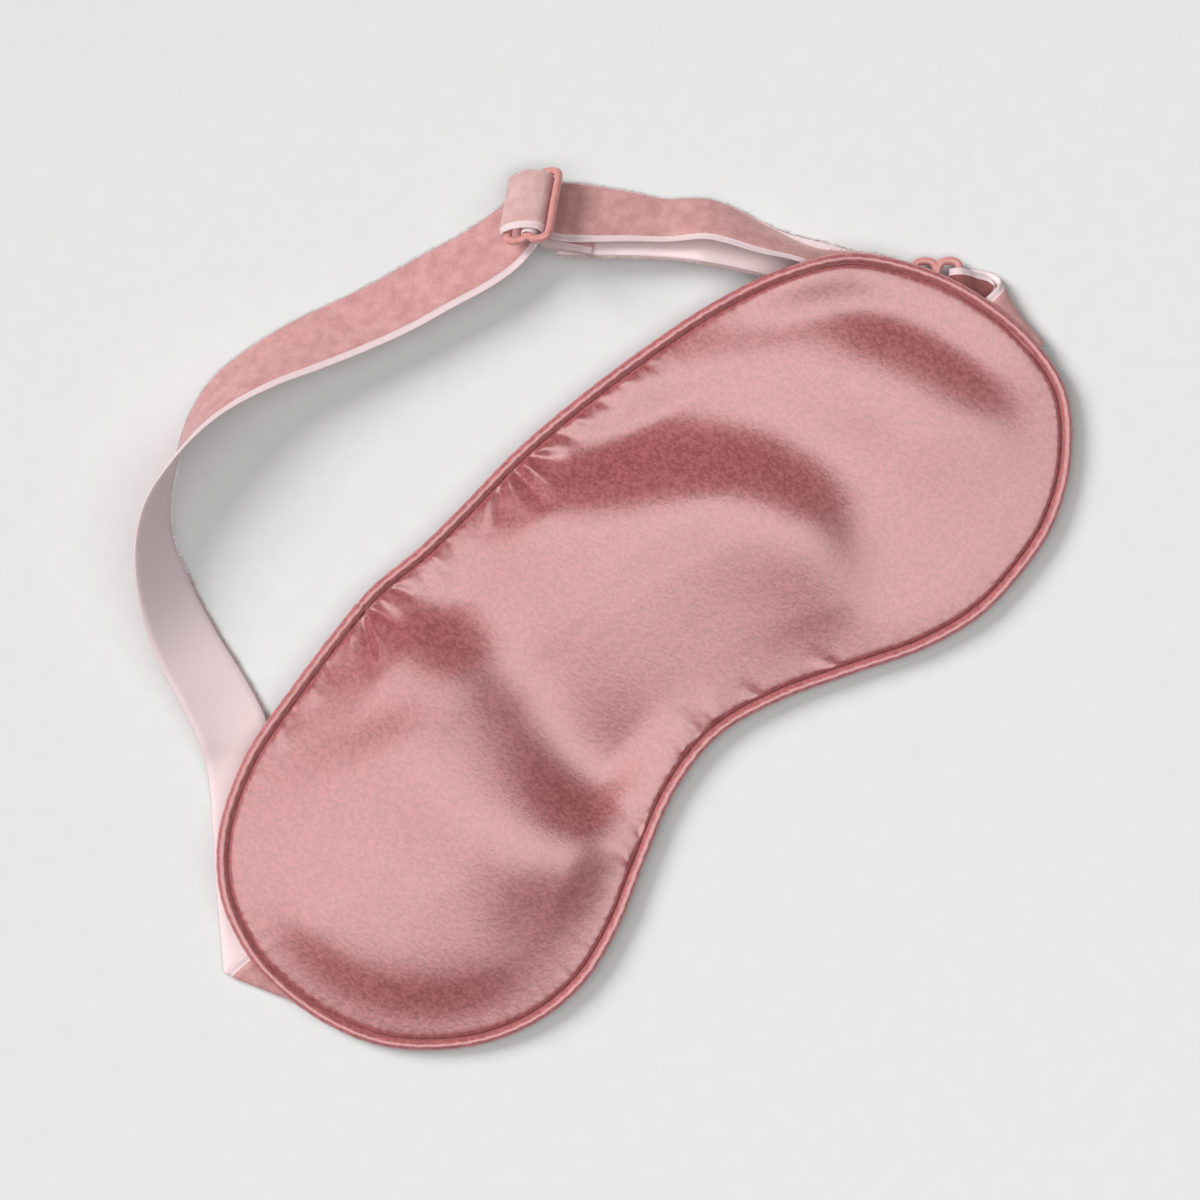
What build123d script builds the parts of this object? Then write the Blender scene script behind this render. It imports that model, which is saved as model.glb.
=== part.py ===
from build123d import *
import os
from math import cos, radians, sin, tan

os.makedirs("parts", exist_ok=True)

# Sleep eye mask lying face up on its back, in millimetres.
# +X runs along the mask towards the buckled end, +Y towards the brow, +Z up.
# The origin is in the flat back of the mask, close to the middle of the bridge.

# ---- driving dimensions -------------------------------------------------
pad_height = 12.5            # flat back to the crown of the front panel
seam_height = 6.2            # plane of the edge seam and the piping
piping_diameter = 2.3
cord_diameter = 1.4
panel_thickness = 0.5
lining_thickness = 0.35
back_slope_width = 17.0      # how far in from the seam the back becomes flat
front_slope_width = 15.0
pad_clearance = 0.1          # gap between the stacked layers and the piping

strap_width = 16.0
threaded_width = 14.8        # the band gathers slightly inside a buckle
strap_thickness = 0.8
edge_lift = 0.25             # lower edge of the band above the surface it lies on

bar_diameter = 1.7
bar_pitch = 4.95             # centre bar to each outer bar
buckle_length = 19.6
lobe_radius = 1.5
notch_depth = 0.7
notch_width = 0.9
notch_radius = 0.9
working_gap = 0.25           # clearance around everything that slides or pivots

bridge_x = -2.0              # fold line of the bridge, between the two eye pads
split_gap = 0.3              # gap between the two halves at the fold line

# The band at the slider runs straight towards the buckled end, tilted about its own length.
run_heading = -51.3          # degrees from +X
run_tilt = 30.0              # degrees, selvedge edge raised
run_height = 7.0
slider_x, slider_y = 46.5, 87.0
straight_run = 35.0          # straight length of the run from the slider's centre
tab_start, tab_end = 4.5, 15.5
return_start = 7.0

# Connecting buckle under the rim at the right-hand end.
connector_x, connector_y = 99.7, 11.0
connector_heading = -41.3
eye_radius = bar_diameter / 2 + working_gap
connector_height = edge_lift + strap_thickness + eye_radius

# Finished edge of the mask (outside of the piping), clockwise from the left tip.
mask_edge = [
    (-111.2, 0), (-106.2, 20), (-95.5, 32), (-82, 38.8), (-64, 43.2), (-46, 46.6),
    (-28, 47.7), (-10, 47.9), (8, 49), (26, 48.5), (44, 46.9), (62, 44.2), (78, 39.4),
    (92, 32), (102.1, 18.9), (107.6, 5), (109.8, -12), (105, -27.5), (92, -39.8),
    (76, -45.8), (60, -47.4), (44, -43.7), (28, -36.7), (14, -31.3), (-2, -28.2),
    (-18, -31.5), (-34, -39.2), (-48, -45.9), (-62, -49.2), (-78, -47.3), (-92.4, -40),
    (-103.5, -27.5), (-109.3, -15),
]


# ---- helpers ------------------------------------------------------------
def inset_corners(inset):
    """Corners of the mask's outline, each moved in along its own bisector."""
    corners = []
    for here in range(len(mask_edge)):
        point = Vector(*mask_edge[here])
        before = (point - Vector(*mask_edge[here - 1])).normalized()
        after = (Vector(*mask_edge[(here + 1) % len(mask_edge)]) - point).normalized()
        inward = Vector(before.Y + after.Y, -before.X - after.X).normalized()
        corners.append(point + inward * (inset / cos(radians(before.get_angle(after)) / 2)))
    return corners


def corner_radii(points, share=0.42):
    """Largest tangent arc that each corner of the closed outline leaves room for."""
    radii = []
    for here in range(len(points)):
        before = points[here] - points[here - 1]
        after = points[(here + 1) % len(points)] - points[here]
        shorter = min(before.length, after.length)
        radii.append(share * shorter / tan(radians(before.get_angle(after)) / 2))
    return radii


def inset_outline(height, inset):
    """The mask's outline at a height, drawn in from the finished edge by inset."""
    corners = inset_corners(inset)
    with BuildSketch(Plane.XY.offset(height)) as outline:
        with BuildLine():
            FilletPolyline(*corners, radius=corner_radii(corners), close=True)
        make_face()
    return outline.sketch


def pad_form(skin):
    """Solid form of the pad, with every outer surface moved in by skin."""
    edge = piping_diameter + pad_clearance + skin
    with BuildPart() as form:
        loft([inset_outline(skin, edge + back_slope_width).face(),
              inset_outline(seam_height, edge).face()], ruled=True)
        loft([inset_outline(seam_height, edge).face(),
              inset_outline(seam_height + 0.62 * (pad_height - seam_height) - skin / 2,
                            edge + 0.28 * front_slope_width).face(),
              inset_outline(pad_height - skin, edge + front_slope_width).face()], ruled=True)
        # Hollows that the folded band and the buckle press into the back.
        with BuildSketch(Plane.XY):
            with BuildLine():
                Polyline(*left_hollow, close=True)
            make_face()
            offset(amount=skin)
        extrude(amount=left_hollow_height + skin, mode=Mode.SUBTRACT)
        with BuildSketch(Plane.XY):
            with BuildLine():
                Polyline(*right_hollow, close=True)
            make_face()
            offset(amount=skin)
        extrude(amount=right_hollow_height + skin, mode=Mode.SUBTRACT)
    return form.part


def half_of(shape, side):
    """The part of shape on one side of the fold line; side is +1 or -1."""
    plane = Plane(origin=(bridge_x + side * split_gap / 2, 0, 0), z_dir=(side, 0, 0))
    with BuildPart() as half:
        add(shape)
        split(bisect_by=plane, keep=Keep.TOP)
    return half.part


def tube_around(diameter):
    """Round tube lying along the middle of the piping."""
    path = inset_outline(seam_height, piping_diameter / 2).wire()
    with BuildPart() as tube:
        with BuildSketch(Plane(origin=path @ 0, z_dir=path % 0)):
            Circle(diameter / 2)
        sweep(path=path)
    return tube.part


def ribbon(stations):
    """Flat band through stations of x, y, z, heading and tilt of its width, in degrees."""
    with BuildPart() as band:
        for x, y, z, heading, tilt in stations:
            along = Vector(cos(radians(heading)), sin(radians(heading)), 0)
            level = Vector(-along.Y, along.X, 0)
            across = level * cos(radians(tilt)) + Vector(0, 0, sin(radians(tilt)))
            with BuildSketch(Plane(origin=(x, y, z), x_dir=across, z_dir=along)):
                Rectangle(strap_width, strap_thickness)
        loft(ruled=True)
    return band.part


def figure_eight(plane):
    """Wire-form buckle: two rounded lobes that meet in notches at the centre bar's ends."""
    end = (buckle_length - bar_diameter) / 2
    with BuildPart() as buckle:
        with BuildSketch(Plane(origin=plane.from_local_coords(Vector(0, -end + notch_depth, 0)),
                               z_dir=plane.y_dir)):
            Circle(bar_diameter / 2)
        extrude(amount=2 * (end - notch_depth))
        for side in (-1, 1):
            with BuildLine(plane) as lobe:
                FilletPolyline((0, notch_depth - end), (side * notch_width, -end),
                               (side * bar_pitch, -end), (side * bar_pitch, end),
                               (side * notch_width, end), (0, end - notch_depth),
                               radius=[notch_radius, lobe_radius, lobe_radius, notch_radius])
            path = lobe.wire()
            with BuildSketch(Plane(origin=path @ 0, z_dir=path % 0)):
                Circle(bar_diameter / 2)
            sweep(path=path)
    return buckle.part


def finish(part, name):
    part.label = name
    export_step(part, f"parts/{name}.step")


# ---- places that several pieces share -------------------------------------
run_along = Vector(cos(radians(run_heading)), sin(radians(run_heading)), 0)
run_across = Vector(-run_along.Y, run_along.X, 0)
run_normal = run_across * sin(radians(run_tilt)) + Vector(0, 0, cos(radians(run_tilt)))
run_plane = Plane(origin=(slider_x, slider_y, run_height), x_dir=run_along, z_dir=run_normal)
bar_level = strap_thickness / 2 + working_gap + bar_diameter / 2
tab_level = -(strap_thickness / 2 + working_gap + strap_thickness)
return_level = tab_level - strap_thickness - working_gap - strap_thickness / 2

link_along = Vector(cos(radians(connector_heading)), sin(radians(connector_heading)), 0)
link_across = Vector(-link_along.Y, link_along.X, 0)
link_centre = Vector(connector_x, connector_y, connector_height)
eye_top = connector_height + eye_radius + strap_thickness / 2
strap_bar = link_centre - link_along * bar_pitch
loop_bar = link_centre + link_along * bar_pitch

left_hollow_height = 1.7
left_hollow = [(-113, -12), (-120, 8), (-92, 46), (-70, 48), (-76.5, 36), (-90, 16), (-99, -3)]
right_hollow_height = 5.3
right_hollow = [(72, 46), (96, 40), (120, 12), (112, -13), (104.5, -13), (89.5, -1), (84.5, 8),
                (76, 28)]


def on_run(along, level):
    """Point on the run, along it from the slider's centre and off its surface."""
    return tuple(run_plane.from_local_coords(Vector(along, 0, level)))


# ---- padded mask, in two halves that fold at the bridge ----------------------
outer_form = pad_form(0)
under_skin = pad_form(panel_thickness)
under_lining = pad_form(panel_thickness + lining_thickness)
piping_tube = tube_around(piping_diameter)
piping_bore = tube_around(cord_diameter + 0.02)
piping_core = tube_around(cord_diameter)
seam_plane = Plane.XY.offset(seam_height)

for side, name in ((1, "right"), (-1, "left")):
    with BuildPart() as front_panel:
        add(half_of(outer_form, side))
        add(half_of(under_skin, side), mode=Mode.SUBTRACT)
        split(bisect_by=seam_plane, keep=Keep.TOP)
    finish(front_panel.part, f"front_panel_{name}")

    with BuildPart() as back_panel:
        add(half_of(outer_form, side))
        add(half_of(under_skin, side), mode=Mode.SUBTRACT)
        split(bisect_by=seam_plane, keep=Keep.BOTTOM)
    finish(back_panel.part, f"back_panel_{name}")

    with BuildPart() as blackout_lining:
        add(half_of(under_skin, side))
        add(half_of(under_lining, side), mode=Mode.SUBTRACT)
        split(bisect_by=seam_plane, keep=Keep.BOTTOM)
    finish(blackout_lining.part, f"blackout_lining_{name}")

    with BuildPart() as wadding:
        add(half_of(under_lining, side))
    finish(wadding.part, f"wadding_{name}")

    with BuildPart() as piping_cover:
        add(half_of(piping_tube, side))
        add(half_of(piping_bore, side), mode=Mode.SUBTRACT)
    finish(piping_cover.part, f"piping_cover_{name}")

    with BuildPart() as piping_cord:
        add(half_of(piping_core, side))
    finish(piping_cord.part, f"piping_cord_{name}")


# ---- headband, from the left tip round to the slider ---------------------------
low = edge_lift + strap_thickness / 2

# The sewn end leaves the seam flat and doubles back under itself along a slanting fold.
fold_line = Plane(origin=(-113.9, -1.8, 0), z_dir=(0.907, 0.42, 0))
with BuildPart() as sewn_end:
    add(ribbon([(-105.6, -1.8, 4.7, 180, 0), (-109.3, -1.8, 3.6, 180, 0),
                (-113.5, -1.8, low + strap_thickness, 180, 0),
                (-118.5, -1.8, low + strap_thickness, 180, 0)]))
    split(bisect_by=fold_line, keep=Keep.TOP)

with BuildPart() as left_run:
    add(ribbon([(-121, -11.2, low, 53, 0), (-108, 6, low, 53, 0), (-96.5, 21, low, 52.5, 0),
                (-87, 33, low, 55, 0), (-80.8, 43.5, 2.2, 70, 10), (-77.4, 55, 3.5, 78, 20),
                (-75.3, 65, 4.6, 77, 28), (-71.4, 76, 6.2, 66, 43), (-66, 85.8, 7.8, 52, 60),
                (-58.9, 92.7, 8.5, 32, 74), (-50, 97.2, 8.7, 20, 90), (-40, 100.5, 8.3, 13, 109),
                (-30, 101.4, 7.4, -3, 124), (-20, 99.7, 6.8, -13, 133),
                (-10, 96.6, 6.0, -18, 142), (4, 92.1, 5.0, -17, 148)]))
    split(bisect_by=fold_line, keep=Keep.TOP)

with BuildPart() as strap_left:
    add(half_of(left_run.part, -1))
    add(sewn_end.part)
finish(strap_left.part, "strap_left")

with BuildPart() as right_run:
    add(ribbon([(-10, 96.6, 6.0, -18, 142), (4, 92.1, 5.0, -17, 148), (12, 89.8, 4.9, -14, 149),
                (20, 88.0, 5.1, -11, 150), (30, 86.3, 5.3, -5, 150), (37, 86.6, 5.3, 0, 150),
                (43.2, 87.0, 5.6, -20, 150), (*on_run(3, 0), run_heading, 150)]))
    add(ribbon([(*on_run(3, 0), run_heading, 150), (*on_run(straight_run, 0), run_heading, 150)]))
    add(ribbon([(*on_run(straight_run, 0), run_heading, 150), (73, 54.3, 5.7, -52, 160),
                (77, 49.4, 4.6, -54, 171), (81.8, 42.3, 3.9, -60, 179), (85.6, 34.6, 3.8, -65, 180),
                (88.8, 27, eye_top, -66, 180), (92, 20, eye_top, -56, 180),
                (*tuple(strap_bar)[:2], eye_top, connector_heading, 180)]))

with BuildPart() as strap_right:
    add(half_of(right_run.part, 1))
finish(strap_right.part, "strap_right")

# The band turns round the connector's bar and comes back under itself.
with BuildPart() as strap_return:
    with BuildSketch(Plane(origin=strap_bar, x_dir=link_along, z_dir=-link_across)):
        Circle(eye_radius + strap_thickness)
        Circle(eye_radius, mode=Mode.SUBTRACT)
        with Locations((-(eye_radius + strap_thickness), 0)):
            Rectangle(2 * (eye_radius + strap_thickness), 9, mode=Mode.SUBTRACT)
    extrude(amount=threaded_width / 2, both=True)
    add(ribbon([(*tuple(strap_bar)[:2], low, connector_heading, 180),
                (92, 20, low, -56, 180), (88.8, 27, low + 0.1, -66, 180),
                (85.6, 34.6, low + 0.2, -65, 180), (81.2, 42, 1.4, -60, 178),
                (76, 49.3, 2.2, -54, 170), (72.2, 54, 3.3, -52, 160),
                (*on_run(straight_run, return_level), run_heading, 150)]))
    add(ribbon([(*on_run(straight_run, return_level), run_heading, 150),
                (*on_run(return_start, return_level), run_heading, 150)]))
finish(strap_return.part, "strap_return")

# ---- slider and what rides on it -----------------------------------------------
with BuildPart() as slider:
    add(figure_eight(run_plane.offset(bar_level)))
finish(slider.part, "slider")

across_run = Plane(origin=run_plane.origin, x_dir=run_along, z_dir=-run_plane.y_dir)
hump_foot = strap_thickness / 2 + working_gap
hump_top = 4.6
hump_half = 3.5
with BuildPart() as strap_hump:
    with BuildSketch(across_run):
        with BuildLine():
            ThreePointArc((-hump_half, hump_foot), (0, hump_top), (hump_half, hump_foot))
            inner = hump_half - strap_thickness
            ThreePointArc((-inner, hump_foot), (0, hump_top - strap_thickness), (inner, hump_foot))
            Line((-hump_half, hump_foot), (-inner, hump_foot))
            Line((inner, hump_foot), (hump_half, hump_foot))
        make_face()
    extrude(amount=threaded_width / 2, both=True)
finish(strap_hump.part, "strap_hump")

# The band's end wraps the centre bar and is folded and sewn down underneath.
wrap_radius = bar_diameter / 2 + 0.05
with BuildPart() as strap_tab:
    with BuildSketch(across_run):
        with Locations((0, bar_level)):
            Circle(wrap_radius + strap_thickness)
            Circle(wrap_radius, mode=Mode.SUBTRACT)
        with Locations((0, hump_foot - 2)):
            Rectangle(6, 4, mode=Mode.SUBTRACT)
    extrude(amount=threaded_width / 2, both=True)
    with BuildSketch(across_run):
        with Locations(((tab_start + tab_end) / 2, tab_level)):
            Rectangle(tab_end - tab_start, 2 * strap_thickness)
    extrude(amount=threaded_width / 2, both=True)
finish(strap_tab.part, "strap_tab")

# Two rows of bar stitches that hold the folded end down.
stitch_width = 0.5
stitch_height = 0.15
with BuildPart() as tab_stitches:
    with BuildSketch(run_plane.offset(tab_level - strap_thickness)):
        with GridLocations(3.2, 2.3, 2, 6):
            with Locations((tab_end - 3.4, 0)):
                Rectangle(1.5, stitch_width)
    extrude(amount=-stitch_height)
finish(tab_stitches.part, "tab_stitches")

# ---- connecting buckle and the short loop at the right tip ------------------------
with BuildPart() as connector:
    add(figure_eight(Plane(origin=link_centre, x_dir=link_along, z_dir=(0, 0, 1))))
finish(connector.part, "connector")

loop_top = 5.05
loop_length = 8.6
loop_back = eye_radius + strap_thickness
with BuildPart() as short_loop:
    with BuildSketch(Plane(origin=(loop_bar.X, loop_bar.Y, 0), x_dir=link_along, z_dir=-link_across)):
        with Locations(((loop_length - loop_back) / 2, (loop_top + edge_lift) / 2)):
            RectangleRounded(loop_length + loop_back, loop_top - edge_lift, 1.9)
            RectangleRounded(loop_length + loop_back - 2 * strap_thickness,
                             loop_top - edge_lift - 2 * strap_thickness, 1.2, mode=Mode.SUBTRACT)
    extrude(amount=threaded_width / 2, both=True)
    # The sewn ends run on from the loop into the seam at the tip.
    with BuildSketch(Plane.XY.offset(loop_top - strap_thickness)):
        with BuildLine():
            Polyline((106.2, 3.2), (110, 4.6), (112, 2), (111.9, -5), (110.3, -11.2),
                     (106.8, -12.2), close=True)
        make_face()
    extrude(amount=strap_thickness)
finish(short_loop.part, "short_loop")
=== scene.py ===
import math

import bmesh
import bpy
import numpy as np
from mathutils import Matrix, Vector, geometry


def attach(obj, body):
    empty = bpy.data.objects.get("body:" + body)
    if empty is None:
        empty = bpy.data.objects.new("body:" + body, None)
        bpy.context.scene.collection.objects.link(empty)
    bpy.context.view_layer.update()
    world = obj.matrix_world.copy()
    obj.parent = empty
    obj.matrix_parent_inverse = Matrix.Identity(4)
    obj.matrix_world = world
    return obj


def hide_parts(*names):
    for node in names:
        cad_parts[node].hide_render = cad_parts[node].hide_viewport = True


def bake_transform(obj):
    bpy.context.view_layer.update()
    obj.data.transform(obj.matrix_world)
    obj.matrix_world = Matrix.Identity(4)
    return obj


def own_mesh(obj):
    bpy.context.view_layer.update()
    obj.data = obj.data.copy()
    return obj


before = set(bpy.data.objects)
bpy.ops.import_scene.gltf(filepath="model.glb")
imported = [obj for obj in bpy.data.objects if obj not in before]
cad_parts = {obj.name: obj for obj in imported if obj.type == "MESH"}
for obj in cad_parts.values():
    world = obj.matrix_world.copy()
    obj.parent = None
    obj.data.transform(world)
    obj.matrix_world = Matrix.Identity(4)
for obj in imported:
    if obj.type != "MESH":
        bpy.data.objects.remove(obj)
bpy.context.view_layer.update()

MM = 0.001                    # the lists below are in millimetres, in the CAD's frame

# ---- driving sizes (mm) ------------------------------------------------------
PIPING_R = 1.15
SEAM_Z = 4.9                  # usual height of the piping's centre
CROWN_Z = 9.7
SAG = 1.9                     # how much lower the lower edge lies than the brow
DITCH = 1.1                   # depth of the stitched ditch below the seam
SHOULDER = 0.7                # how far the satin rises above the seam just inside the ditch
STRAP_W = 16.0
STRAP_T = 0.9
SELVEDGE_W = 1.7
BUCKLE_WIRE_R = 0.95
BUCKLE_BAND_W = 14.8          # the band gathers a little where it passes a buckle
PIPING_BUTT = (-40.6, 47.3)   # where the ends of the piping meet
CAMERA_TURN = math.radians(-42)

# Finished edge of the mask (outside of the piping), clockwise from the left tip.
MASK_EDGE = [
    (-111.2, 0), (-110, 10), (-106.2, 20), (-97.6, 30), (-82, 38.7), (-64, 43.2), (-46, 46.6),
    (-36, 47.9), (-22, 47.3), (-10, 47.8), (8, 49), (26, 48.5), (44, 46.9), (62, 44.2),
    (78, 39.5), (92, 32), (102.1, 18.9), (107.4, 6), (109.8, -10), (107.6, -23), (98.2, -35),
    (86, -42.9), (74, -46.2), (60, -47.3), (46, -44.4), (30, -37.7), (14, -31.3), (-1, -28.2),
    (-16, -30.8), (-32, -38.1), (-46, -45), (-60, -49), (-74, -48.2), (-88, -42.4),
    (-101.8, -30), (-108.6, -16),
]


# ---- curves ------------------------------------------------------------------
def smooth_curve(points, count, closed=False):
    """Centripetal Catmull-Rom curve through points, as count samples evenly spaced along it."""
    pts = np.array(points, float)
    if closed:
        pts = np.vstack([pts[-1], pts, pts[0], pts[1]])
    else:
        pts = np.vstack([2 * pts[0] - pts[1], pts, 2 * pts[-1] - pts[-2]])
    out = []
    for i in range(1, len(pts) - 2):
        p0, p1, p2, p3 = pts[i - 1:i + 3]
        t0 = 0.0
        t1 = t0 + max(np.linalg.norm(p1 - p0), 1e-6) ** 0.5
        t2 = t1 + max(np.linalg.norm(p2 - p1), 1e-6) ** 0.5
        t3 = t2 + max(np.linalg.norm(p3 - p2), 1e-6) ** 0.5
        t = np.linspace(t1, t2, 40, endpoint=False)[:, None]
        a1 = (t1 - t) / (t1 - t0) * p0 + (t - t0) / (t1 - t0) * p1
        a2 = (t2 - t) / (t2 - t1) * p1 + (t - t1) / (t2 - t1) * p2
        a3 = (t3 - t) / (t3 - t2) * p2 + (t - t2) / (t3 - t2) * p3
        b1 = (t2 - t) / (t2 - t0) * a1 + (t - t0) / (t2 - t0) * a2
        b2 = (t3 - t) / (t3 - t1) * a2 + (t - t1) / (t3 - t1) * a3
        out.append((t2 - t) / (t2 - t1) * b1 + (t - t1) / (t2 - t1) * b2)
    fine = np.vstack(out + [pts[-2][None]])
    steps = np.linalg.norm(np.diff(fine, axis=0), axis=1)
    along = np.concatenate([[0], np.cumsum(steps)])
    where = np.linspace(0, along[-1], count, endpoint=not closed)
    return np.stack([np.interp(where, along, fine[:, k]) for k in range(fine.shape[1])], 1)


def unit(v):
    return v / np.maximum(np.linalg.norm(v, axis=-1, keepdims=True), 1e-9)


def smoothstep(lo, hi, x):
    t = np.clip((x - lo) / (hi - lo), 0, 1)
    return t * t * (3 - 2 * t)


def nearest_on_path(xy, path):
    """Each point's distance from a polyline, the nearest place along it and the point's side.

    Places run from 0 to 1 and the side is 1 on the left of the path, -1 on its right."""
    path = np.array(path, float)
    lengths = np.linalg.norm(np.diff(path, axis=0), axis=1)
    starts = np.concatenate([[0], np.cumsum(lengths)])
    best = np.full(len(xy), 1e9)
    along = np.zeros(len(xy))
    side = np.zeros(len(xy))
    for k in range(len(path) - 1):
        d = path[k + 1] - path[k]
        t = np.clip(((xy - path[k]) @ d) / (d @ d), 0, 1)
        gap = np.linalg.norm(xy - (path[k] + t[:, None] * d), axis=1)
        turn = np.sign(d[0] * (xy[:, 1] - path[k][1]) - d[1] * (xy[:, 0] - path[k][0]))
        nearer = gap < best
        best = np.where(nearer, gap, best)
        along = np.where(nearer, (starts[k] + t * lengths[k]) / starts[-1], along)
        side = np.where(nearer, turn, side)
    return best, along, side


def wave_noise(s, seed, waves=5, lo=1, hi=6):
    """Smooth periodic noise of s in 0..1, between about -1 and 1."""
    rng = np.random.default_rng(seed)
    total = np.zeros_like(s)
    for _ in range(waves):
        total += rng.uniform(0.4, 1) * np.sin(2 * np.pi * (rng.integers(lo, hi) * s + rng.random()))
    return total / waves * 1.6


# ---- outline of the mask, shared by its layers ---------------------------------
RIM_COUNT = 880
rim = smooth_curve(MASK_EDGE, RIM_COUNT, closed=True)
rim_along = np.arange(RIM_COUNT) / RIM_COUNT
rim_tangent = unit(np.roll(rim, -1, 0) - np.roll(rim, 1, 0))
rim_inward = np.stack([rim_tangent[:, 1], -rim_tangent[:, 0]], 1)
rim_length = np.linalg.norm(np.roll(rim, -1, 0) - rim, axis=1).sum()


def droop(y):
    """How far the mask sags towards its lower edge, which rests on the table."""
    return SAG * smoothstep(-30, 48, -y)


# What lies under the rim and lifts it: place, height and reach.
RIM_LIFTS = [
    ((84, 37), 4.6, 17),      # the two runs of the band
    ((106, 10), 1.5, 20),     # the connecting buckle
]
rim_z = np.full(RIM_COUNT, SEAM_Z)
for place, height, reach in RIM_LIFTS:
    rim_z += height * np.exp(-(np.linalg.norm(rim - place, axis=1) / reach) ** 2)
rim_z = rim_z + 0.35 * wave_noise(rim_along, 3, waves=6, lo=2, hi=9) - droop(rim[:, 1])


# ---- mesh helpers --------------------------------------------------------------
def add_object(name, data):
    obj = bpy.data.objects.new(name, data)
    bpy.context.scene.collection.objects.link(obj)
    return obj


def make_mesh(name, verts, faces, uv=None, slots=None):
    mesh = bpy.data.meshes.new(name)
    mesh.from_pydata([tuple(v) for v in np.asarray(verts) * MM], [], faces)
    mesh.update()
    if uv is not None:
        layer = mesh.uv_layers.new(name="cloth")
        loops = np.zeros(len(mesh.loops), int)
        mesh.loops.foreach_get("vertex_index", loops)
        layer.data.foreach_set("uv", (np.asarray(uv)[loops] * MM).astype(np.float32).ravel())
    mesh.polygons.foreach_set("use_smooth", [True] * len(mesh.polygons))
    if slots is not None:
        mesh.polygons.foreach_set("material_index", slots)
    return add_object(name, mesh)


def grid_faces(rows, cols):
    """Quads of a grid of rows of points numbered row by row, each row closed into a ring."""
    faces = []
    for r in range(rows - 1):
        for c in range(cols):
            a, b = r * cols + c, r * cols + (c + 1) % cols
            faces.append((a, b, b + cols, a + cols))
    return faces


def tube(name, path, radius, sides, closed=True, uv=True):
    """Round tube along a path; radius may be a number or an array of path points by sides."""
    n = len(path)
    if closed:
        tangent = unit(np.roll(path, -1, 0) - np.roll(path, 1, 0))
    else:
        tangent = unit(np.gradient(path, axis=0))
    side = unit(np.cross(tangent, (0, 0, 1.0)))
    up = np.cross(side, tangent)
    angle = np.arange(sides) / sides * 2 * np.pi
    ring = np.asarray(radius, float) * np.ones((n, sides))
    verts = (path[:, None] + ring[..., None] * (np.cos(angle)[None, :, None] * side[:, None]
                                                + np.sin(angle)[None, :, None] * up[:, None]))
    faces = []
    for r in range(n if closed else n - 1):
        for c in range(sides):
            a, b = r * sides + c, r * sides + (c + 1) % sides
            a2, b2 = (r + 1) % n * sides + c, (r + 1) % n * sides + (c + 1) % sides
            faces.append((a, a2, b2, b))
    if not closed:
        faces.append(tuple(range(sides)))
        faces.append(tuple(reversed(range((n - 1) * sides, n * sides))))
    steps = np.concatenate([[0], np.cumsum(np.linalg.norm(np.diff(path, axis=0), axis=1))])
    coords = np.stack([np.repeat(steps, sides), np.tile(angle * np.mean(ring), n)], 1)
    return make_mesh(name, verts.reshape(-1, 3), faces, coords if uv else None)


# ---- form of the pad -------------------------------------------------------------
def ring_steps(reach, first_step, growth, largest):
    """Distances from the skin's edge at which rings follow the seam, closer together near it."""
    places, step = [0.0], first_step
    while places[-1] < reach:
        places.append(places[-1] + step)
        step = min(step * growth, largest)
    return places


def inside(xy, loop):
    """Which points are inside a closed loop."""
    count = np.zeros(len(xy), int)
    after = np.roll(loop, -1, 0)
    for (x0, y0), (x1, y1) in zip(loop, after):
        if y0 == y1:
            continue
        crosses = (xy[:, 1] >= min(y0, y1)) & (xy[:, 1] < max(y0, y1))
        count += crosses & (xy[:, 0] < x0 + (xy[:, 1] - y0) * (x1 - x0) / (y1 - y0))
    return count % 2 == 1


def pad_net(inset, every, net, rings):
    """Plan points and faces of one skin: rings that follow the seam round a staggered net.

    It takes every nth rim sample. net is the distance between the net's points, and rings
    holds what ring_steps takes."""
    edge, inward = rim[::every], rim_inward[::every]
    steps = ring_steps(*rings)
    rows = np.array([edge + inward * (inset + d) for d in steps])
    cols = len(edge)
    faces = grid_faces(len(steps), cols)
    inner = rows[-1]
    grid = []
    for r, y in enumerate(np.arange(-50, 50, net * 0.866)):
        grid += [(x + (r % 2) * net / 2, y) for x in np.arange(-112, 112, net)]
    grid = np.array(grid)
    grid = grid[inside(grid, inner)]
    gap = np.full(len(grid), 1e9)
    for first in range(0, len(grid), 4000):
        part = grid[first:first + 4000]
        gap[first:first + 4000] = np.sqrt(((part[:, None] - inner[None]) ** 2).sum(-1).min(1))
    grid = grid[gap > net * 0.6]
    points = [Vector(p) for p in np.vstack([inner, grid])]
    hoop = [(c, (c + 1) % cols) for c in range(cols)]
    out, _, triangles, _, _, _ = geometry.delaunay_2d_cdt(points, hoop, [], 1, 1e-6)
    out = np.array([tuple(p) for p in out])
    first = (len(steps) - 1) * cols
    flat = np.vstack([rows[:-1].reshape(-1, 2), out])
    # The net's own numbering keeps its hoop first, in the same order as the last ring.
    for tri in triangles:
        p, q, r = (out[i] for i in tri)
        turn = (q[0] - p[0]) * (r[1] - p[1]) - (q[1] - p[1]) * (r[0] - p[0])
        tri = tuple(first + i for i in tri)
        faces.append(tri[::-1] if turn > 0 else tri)
    return flat, faces, cols


def seam_gap(xy):
    """Distance of each point from the seam, and the rim sample nearest to it."""
    seam = rim + rim_inward * (2 * PIPING_R)
    best = np.full(len(xy), 1e9)
    index = np.zeros(len(xy), int)
    for first in range(0, len(xy), 4000):
        part = xy[first:first + 4000]
        d = ((part[:, None] - seam[None]) ** 2).sum(-1)
        index[first:first + 4000] = d.argmin(1)
        best[first:first + 4000] = np.sqrt(d.min(1))
    return best, index


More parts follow.
